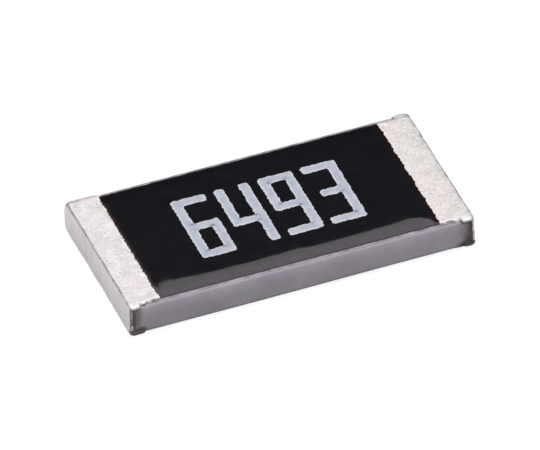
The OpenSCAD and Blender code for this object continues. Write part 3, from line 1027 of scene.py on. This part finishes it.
def tin_shape(points, low, high, look):
    """Moves the end block out of true, as its plating is. The rear upright corner bulges,
    as one less a power of t, with t from -1 to 1 over the height. The end face waves, the
    rear lip and the bottom lips thin out to their starts, and the right end flares
    towards the bottom and lifts its lower front edge."""
    t = np.clip(2 * (points[:, 2] - low[2]) / (high[2] - low[2]) - 1, -1, 1)
    along, y = points[:, 0], points[:, 1]
    near_end = grow(along - high[0], *END_ZONE)
    swell = (1 - t ** BULGE_POWER) * near_end
    into_lip = along - lip_starts(points, high[0], look)
    across = np.stack([0 * y, y, 0 * y], 1)
    wave = noise(across, END_WAVE, END_WAVE_SEED + look["side"], END_WAVE_SEED_STEP)
    moved = points.copy()
    moved[:, 0] += swell * grow(y, *BULGE_ALONG) + near_end * wave
    moved[:, 0] += look["flare"] * near_end * grow(t, *FLARE_HEIGHT)
    moved[:, 1] += swell * grow(y, *BULGE_ACROSS)
    moved[:, 1] -= grow(y, *REAR_TAPER) * (1 - grow(into_lip, *REAR_TAPER_RUN))
    moved[:, 2] += (grow(np.abs(y), *BOTTOM_TAPER) * grow(t, *BOTTOM_TAPER_HEIGHT)
                    * (1 - grow(into_lip, *BOTTOM_TAPER_RUN)))
    moved[:, 2] += look["rise"] * grow(y, *END_RISE_SIDE) * grow(t, *END_RISE_HEIGHT)
    return moved


def edge_stain(points, outward, look, patchy):
    """Painted shade of the top edges where they bend down, as the largest of three: a patchy
    line along the end's top edge, a faint fringe inside it, and a crease before the rear
    edge, dark at first and lighter further out."""
    along, y, z = np.abs(points[:, 0]), points[:, 1], points[:, 2]
    beside = np.where(outward[:, 1] > 0, np.hypot(outward[:, 0], outward[:, 1]),
                      np.abs(outward[:, 0]))
    bent = grow(beside * np.abs(outward[:, 2]), *look["edge_stain"])
    fringe = look["fringe"] * grow(along, *FRINGE_PLACE)
    past_crease = y - look["crease"]
    crease = grow(past_crease, *CREASE_START) * (1 - grow(past_crease, *CREASE_END))
    return np.max([bent * patchy * (z > MIDDLE_HEIGHT), fringe * patchy * (z > TOP_HEIGHT),
                   crease * (CREASE_SHADE + CREASE_PATCHES * patchy) * (z > TOP_HEIGHT)], axis=0)


def corner_stain(points, outward, field, look, patchy):
    """Darkening of the front upright corners, which grows with the product of the outward
    direction's two level parts. The left corner keeps a bright border low down. The right
    one is paler, and has a painted shade line along its border."""
    front = (points[:, 1] <= 0) & (np.abs(outward[:, 2]) < CORNER_FLATNESS)
    turned = np.abs(outward[:, 0] * outward[:, 1]) * front
    border = fade(field, CORNER_BORDER) * grow(points[:, 2], *CORNER_BORDER_HEIGHT)
    light = look["corner_light"] + look["corner_border"] * border
    corners = grow(turned, *CORNER_DARKENING) * (1 - light) * (CORNER_EVEN + (1 - CORNER_EVEN) * patchy)
    rim = fade(field - DARK_RIM_PATCHES * patchy, DARK_RIM)
    dark = look["dark_rim"] * front * rim * (DARK_RIM_EVEN + (1 - DARK_RIM_EVEN) * patchy)
    return np.maximum(corners, dark)


def lip_stain(points, outward, field, high, look, patchy):
    """Darkening of the lips, as the largest of four: painted shade on the part that has
    turned down the long sides and on the bottom lips, a smudge where each lip begins, and
    gaps along the pads' long borders."""
    along, width, z = np.abs(points[:, 0]), np.abs(points[:, 1]), points[:, 2]
    front = points[:, 1] <= 0
    top = z > TOP_HEIGHT
    turned = grow(np.abs(outward[:, 1]), *LIP_TURNED) * grow(z, *LIP_TOP) * grow(z, *LIP_BOTTOM)
    low_down = grow(z, BOTTOM_TOP, np.where(front, *BOTTOM_FADE))
    bottom = np.where(front, *BOTTOM_SHADE) * grow(width, *BOTTOM_SIDE) * low_down
    into_lip = along - lip_starts(points, high[0], look)
    begins = fade(np.abs(into_lip - SMUDGE_PLACE), SMUDGE_REACH) * grow(width, *SMUDGE_SIDE)
    heavy = np.where(front, look["front_smudge"], look["rear_smudge"])
    smudge = heavy * begins * (SMUDGE_EVEN + (1 - SMUDGE_EVEN) * patchy) * top
    chance = noise(points, GAP_NOISE, look["seed"] + TIN_DRAWS["gaps"])
    gaps = fade(field, GAP_RIM) * top * (width > GAP_SIDE) * grow(chance, *GAP_GROWTH)
    return np.max([turned, bottom, smudge, gaps], axis=0)


def tin_stain(points, outward, field, high, look):
    """Darkening of the tin, mostly painted shade with some stains: the largest of the
    darkenings of its edges, corners and lips and of a faint painted shade on the end face that fades
    towards the top."""
    patchy = PATCHY_MEAN + noise(points, PATCHES, look["seed"] + TIN_DRAWS["patches"])
    # Painted shade: the end face grows darker towards the bottom
    even, low_down = FACE_SHADE
    depth = even + low_down * np.clip(1 - points[:, 2] / FACE_TOP, 0, 1)
    face = grow(np.abs(outward[:, 0]), *FACE_TURNED) * depth
    stains = [edge_stain(points, outward, look, patchy),
              corner_stain(points, outward, field, look, patchy),
              lip_stain(points, outward, field, high, look, patchy), face]
    return np.clip(np.max(stains, axis=0), 0, 1)


def tin_casts(points, coarse, look):
    """How pink and how green the tin looks at each point, as cloudy patches that are
    weaker off the pads. The right pad is pinker inward and greener towards the end and
    the rear."""
    along = np.abs(points[:, 0])
    clouds = noise(points, CLOUDS, look["seed"] + TIN_DRAWS["clouds"])
    outer = grow(along, *CAST_OFF_END) + grow(points[:, 1], *CAST_OFF_REAR)
    everywhere, off_end, inward = look["pink"]
    warm = clouds + everywhere + off_end * (1 - outer) + inward * (1 - grow(along, *CAST_INWARD))
    share = CAST_BESIDE + (1 - CAST_BESIDE) * coarse
    return share * np.clip(warm, 0, 1), share * np.clip(look["green"] - warm, 0, 1)


def front_rim_highlight(points, outward, look):
    """How strongly the front rim of the pad takes a painted highlight: it grows over the last
    stretch before the front edge, in patches, and ends where the lip turns down."""
    grown = grow(points[:, 1], *RIM_HIGHLIGHT_EDGE) * grow(outward[:, 2], *RIM_HIGHLIGHT_LEVEL)
    patches = noise(points, RIM_HIGHLIGHT_PATCHES, look["seed"] + TIN_DRAWS["highlighted_rim"])
    return grown * np.clip(RIM_HIGHLIGHT_MEAN + patches, 0, 1) * (points[:, 2] > TOP_HEIGHT)


def tin_streaks(points, coarse, look):
    """Upright streaks off the pads: noise on points whose height is squashed."""
    squashed = points * [1, 1, STREAK_SQUASH]
    streaks = noise(squashed, STREAKS, look["seed"] + TIN_DRAWS["streaks"])
    return STREAK_STRENGTH * np.clip(streaks, 0, 1) * (1 - coarse)


def make_terminal(node, look, tin):
    """One tin terminal. The skin of the rounded end block is cut out where it is plated,
    is moved out of true, gets its relief, sinks to the plate along its ragged border and
    is given a wall."""
    low, high = node_box(node)
    inner_top = min(abs(low[0]), abs(high[0])) - TIN_UNDER_COAT
    end = max(abs(low[0]), abs(high[0]))
    low = np.array([inner_top - TIN_BLOCK_SPARE, low[1], low[2]])
    high = np.array([end, high[1], high[2]])
    points, outward, quads = end_block(low, high)
    field = tin_field(points, inner_top, high, look)
    used, quads = cut_out(quads, field, -DIVE_LIMIT)
    points, outward, field = points[used], outward[used], field[used]
    coarse = grow(np.abs(outward[:, 2]), *TIN_LEVEL)
    # Darkening: mostly painted shade, with some stains
    stain = tin_stain(points, outward, field, high, look)
    pink, green = tin_casts(points, coarse, look)
    # Painted highlight of the front rim
    bright = front_rim_highlight(points, outward, look)
    lift = tin_lift(points, outward, field, coarse, look)
    points = tin_shape(points, low, high, look) + outward * lift[:, None]
    values = {"coarse": coarse, "stain": stain, "streak": tin_streaks(points, coarse, look),
              "pink": pink, "green": green, "pebbly": coarse * look["pebbly"], "bright": bright}
    values = {label: np.tile(numbers, 2) for label, numbers in values.items()}
    points, quads = thicken(points, quads, outward, TIN_SHELL)
    points[:, 0] *= look["side"]
    if look["side"] < 0:
        quads = quads[:, ::-1]
    add_piece(look["piece"], points, quads, tin, "tin", node, **values)


# Printed marking

def stroke_field(x, y, path):
    """How far inside a path of straight strokes each point lies. Each stroke is a bar
    that reaches half its width past both ends, with rounded corners: the distance from
    a bar that is smaller by the corner radius, less that radius, and its sign turned."""
    inside = np.full(len(x), -np.inf)
    for (ax, ay), (bx, by) in zip(path[:-1], path[1:]):
        length = math.hypot(bx - ax, by - ay)
        ux, uy = (bx - ax) / length, (by - ay) / length
        along = np.abs((x - (ax + bx) / 2) * ux + (y - (ay + by) / 2) * uy)
        across = np.abs((y - (ay + by) / 2) * ux - (x - (ax + bx) / 2) * uy)
        past = along - length / 2 - STROKE_HALF + STROKE_CORNER
        beside = across - STROKE_HALF + STROKE_CORNER
        outer = np.hypot(np.clip(past, 0, None), np.clip(beside, 0, None))
        inner = np.minimum(np.maximum(past, beside), 0)
        inside = np.maximum(inside, STROKE_CORNER - outer - inner)
    return inside


def inner_corners(paths):
    """Inner corners of a digit, with the direction of the open side of each. Round each
    end of a stroke, the four points half a stroke off to both sides are tested: one is
    an inner corner if three of its four diagonal neighbours lie on a stroke."""
    ends = np.unique(np.round(np.concatenate(paths), 6), axis=0)
    signs = np.array([[-1, -1], [-1, 1], [1, -1], [1, 1]])
    corners = (ends[:, None] + STROKE_HALF * signs).reshape(-1, 2)
    near = (corners[:, None] + CORNER_PROBE * signs).reshape(-1, 2)
    open_side = np.max([stroke_field(*near.T, path) for path in paths], axis=0).reshape(-1, 4) < 0
    found = open_side.sum(1) == 1
    return corners[found], signs[open_side[found].argmax(1)]


def ink_field(x, y, paths, seed):
    """How far inside the strokes of a digit each point lies, with the inner corners
    filled by a round, and how thin the ink is: a bell round a spot just off each inner
    corner, of random strength."""
    inside = np.max([stroke_field(x, y, path) for path in paths], axis=0)
    thin = np.zeros(len(x))
    chance = np.random.default_rng(seed).uniform(*THIN_STRENGTHS, THIN_DRAWS)
    for (cx, cy), (sx, sy), strength in zip(*inner_corners(paths), chance):
        u, v = (x - cx) * sx, (y - cy) * sy
        near = (np.maximum(u, v) < INNER_ROUND) & (np.minimum(u, v) > -INNER_ROUND)
        fill = np.hypot(u - INNER_ROUND, v - INNER_ROUND) - INNER_ROUND
        inside = np.where(near, np.maximum(inside, fill), inside)
        off_u, off_v = (u + THIN_OFFSET) / THIN_SPREAD[0], (v + THIN_OFFSET) / THIN_SPREAD[1]
        thin += strength * np.exp(-(off_u ** 2 + off_v ** 2))
    return inside, thin


def make_digit(digit, centre, seed):
    """One printed digit as a raised skin of ink. On a fine grid, the field is how far
    inside the strokes a point lies, with its border roughened by noise; the ink stands
    up in a quarter round from where the field is zero. It gives the points, the quads
    and two numbers for the ink: how near the rim a point lies and how thin it is."""
    width, height = STROKE_BOX
    reach = STROKE_HALF + INK_MARGIN
    xs = np.arange(centre - width / 2 - reach, centre + width / 2 + reach, INK_PITCH)
    ys = np.arange(DIGIT_MIDDLE - height / 2 - reach, DIGIT_MIDDLE + height / 2 + reach, INK_PITCH)
    ids = np.arange(len(xs) * len(ys)).reshape(len(xs), len(ys))
    x, y = [grid.ravel() for grid in np.meshgrid(xs, ys, indexing="ij")]
    corner = np.array([centre - width / 2, DIGIT_MIDDLE - height / 2])
    paths = [corner + np.array(path) * [width, height] for path in STROKES[digit]]
    inside, thin = ink_field(x, y, paths, seed)
    flat = np.stack([x, y, 0 * x], 1)
    field = inside + noise(flat, INK_ROUGH, seed + INK_DRAWS["rough"])
    used, quads = cut_out(grid_quads(ids), field, -INK_DIVE)
    x, y, flat, field, thin = x[used], y[used], flat[used], field[used], thin[used]
    lift = INK_HEIGHT * quarter_round(field / INK_ROUND) - np.clip(-field, 0, None)
    z = coat_height(x, y) + lift + noise(flat, INK_SWELL, seed + INK_DRAWS["swell"])
    up = np.tile([0.0, 0.0, 1.0], (len(x), 1))
    points, quads = thicken(np.stack([x, y, z], 1), quads, up, INK_SHELL)
    patchy = THIN_MEAN + noise(flat, THIN_PATCHES, seed + INK_DRAWS["patches"])
    thin = np.clip(thin * patchy, 0, THIN_MOST)
    return points, quads, np.tile(fade(field, INK_RIM), 2), np.tile(thin, 2)


def make_marking():
    """The row of digits as one piece of ink."""
    made = [make_digit(digit, centre, INK_SEED + INK_SEED_STEP * index)
            for index, (digit, centre) in enumerate(zip(MARKING, DIGIT_CENTRES))]
    starts = np.cumsum([0] + [len(part[0]) for part in made])
    points, rim, thin = [np.concatenate([part[i] for part in made]) for i in (0, 2, 3)]
    quads = np.concatenate([part[1] + start for part, start in zip(made, starts)])
    add_piece("printed_marking", points, quads, make_ink(), "marking_ink", rim=rim, thin=thin)


# Hidden layers

def dress_hidden_layers():
    """Gives the CAD nodes that the terminals and the overcoat hide their own materials."""
    for name, layer in HIDDEN_LAYERS.items():
        finish = {label: value for label, value in layer.items() if label != "nodes"}
        material = make_plated(name, **finish)
        for node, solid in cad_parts.items():
            if node.startswith(layer["nodes"]):
                solid.data.materials.clear()
                solid.data.materials.append(material)


# Studio

def make_table():
    """A white table top that the chip lies on, as one flat disc."""
    angles = np.linspace(0, 2 * np.pi, FLOOR_POINTS + 1)[:-1]
    ring = FLOOR_RADIUS * np.stack([np.cos(angles), np.sin(angles), 0 * angles], 1)
    points = ring - [0, 0, FLOOR_DROP]
    mesh = bpy.data.meshes.new("table_top")
    mesh.from_pydata((points * MM).tolist(), [], [list(range(FLOOR_POINTS))])
    mesh.materials.append(make_floor())
    table = bpy.data.objects.new("table_top", mesh)
    bpy.context.scene.collection.objects.link(table)


def make_softbox():
    """A round softbox straight above the chip."""
    light = bpy.data.lights.new("overhead_softbox", "AREA")
    light.shape = "DISK"
    light.size = 2 * SOFTBOX_RADIUS * MM
    light.energy = SOFTBOX_POWER
    lamp = bpy.data.objects.new("overhead_softbox", light)
    lamp.location = (0, 0, SOFTBOX_HEIGHT * MM)
    lamp.visible_camera = False
    bpy.context.scene.collection.objects.link(lamp)


def make_room():
    """The dim room round the table."""
    world = bpy.data.worlds.new("dim_room")
    world.use_nodes = True
    background = world.node_tree.nodes["Background"]
    background.inputs["Color"].default_value = colour("room")
    background.inputs["Strength"].default_value = ROOM_LIGHT
    bpy.context.scene.world = world


def make_camera():
    """The camera of the photograph: it looks along the fitted direction, rolled a
    little, past the point that lies at the middle of the frame."""
    a, e, roll = CAMERA_AZIMUTH, CAMERA_ELEVATION, CAMERA_ROLL
    back = np.array([math.sin(a) * math.cos(e), -math.cos(a) * math.cos(e), math.sin(e)])
    right = np.array([math.cos(a), math.sin(a), 0.0])
    up = np.cross(back, right)
    side = right * math.cos(roll) - up * math.sin(roll)
    top = right * math.sin(roll) + up * math.cos(roll)
    off_x = (PHOTO_WIDTH / 2 - ORIGIN_PIXEL[0]) / PIXELS_PER_MM
    off_y = (ORIGIN_PIXEL[1] - PHOTO_HEIGHT / 2) / PIXELS_PER_MM
    spot = off_x * side + off_y * top + CAMERA_DISTANCE * back
    data = bpy.data.cameras.new("photo_camera")
    data.sensor_width = SENSOR_WIDTH
    data.lens = PIXELS_PER_MM * CAMERA_DISTANCE * SENSOR_WIDTH / PHOTO_WIDTH
    data.clip_start = CLIP_NEAR * MM
    data.clip_end = CLIP_FAR * MM
    camera = bpy.data.objects.new("photo_camera", data)
    rows = [[side[i], top[i], back[i], spot[i] * MM] for i in range(3)]
    camera.matrix_world = [list(column) for column in zip(*rows, (0, 0, 0, 1))]
    bpy.context.scene.collection.objects.link(camera)
    bpy.context.scene.camera = camera


make_plate()
make_coat()
matte_tin = make_tin()
make_terminal("tin_plating_left", LEFT_TERMINAL, matte_tin)
make_terminal("tin_plating_right", RIGHT_TERMINAL, matte_tin)
make_marking()
dress_hidden_layers()
make_table()
make_softbox()
make_room()
make_camera()
bpy.context.scene.view_settings.view_transform = "Standard"
